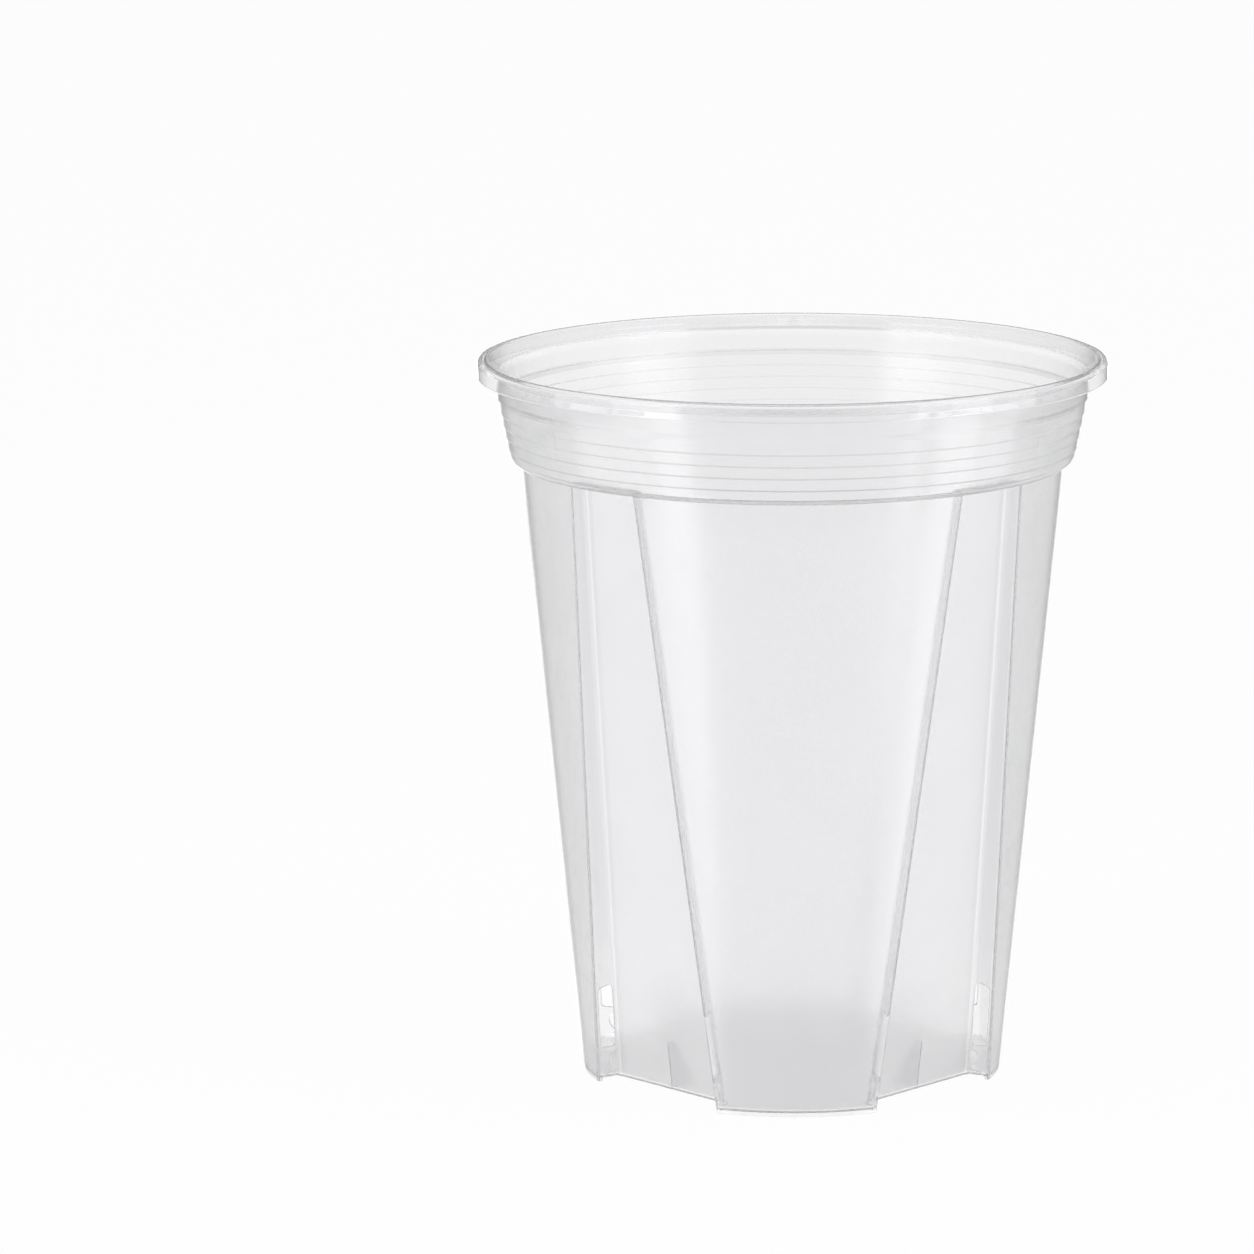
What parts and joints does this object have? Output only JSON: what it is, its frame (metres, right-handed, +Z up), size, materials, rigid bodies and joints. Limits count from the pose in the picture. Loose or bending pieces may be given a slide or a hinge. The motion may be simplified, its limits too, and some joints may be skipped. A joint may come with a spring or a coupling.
{
  "type": "clear plant pot",
  "caption": "Tapered clear plastic plant pot with a rolled lip, a stepped collar, bowed lobes set between flat corner panels, and drain slots above its feet.",
  "frame": {"origin": "on the pot's axis, in the plane that its four feet stand on", "axes": "+Z up along the axis; one lobe faces -Y, which is the front"},
  "size_m": [0.165, 0.165, 0.1905],
  "materials": {
    "clear_plastic": "clear, slightly milky polypropylene, smooth and glossy"
  },
  "bodies": {
    "root": {"rim_lip": "clear_plastic", "collar_band": "clear_plastic", "floor_plate": "clear_plastic", "lobe_wall_front": "clear_plastic", "lobe_wall_right": "clear_plastic", "lobe_wall_back": "clear_plastic", "lobe_wall_left": "clear_plastic", "slot_wall_front_right": "clear_plastic", "slot_wall_front_left": "clear_plastic", "slot_wall_right_back": "clear_plastic", "slot_wall_right_front": "clear_plastic", "slot_wall_back_left": "clear_plastic", "slot_wall_back_right": "clear_plastic", "slot_wall_left_front": "clear_plastic", "slot_wall_left_back": "clear_plastic", "corner_panel_front_right": "clear_plastic", "corner_panel_back_right": "clear_plastic", "corner_panel_back_left": "clear_plastic", "corner_panel_front_left": "clear_plastic", "floor_gusset_front_right": "clear_plastic", "floor_gusset_back_right": "clear_plastic", "floor_gusset_back_left": "clear_plastic", "floor_gusset_front_left": "clear_plastic"}
  },
  "joints": []
}
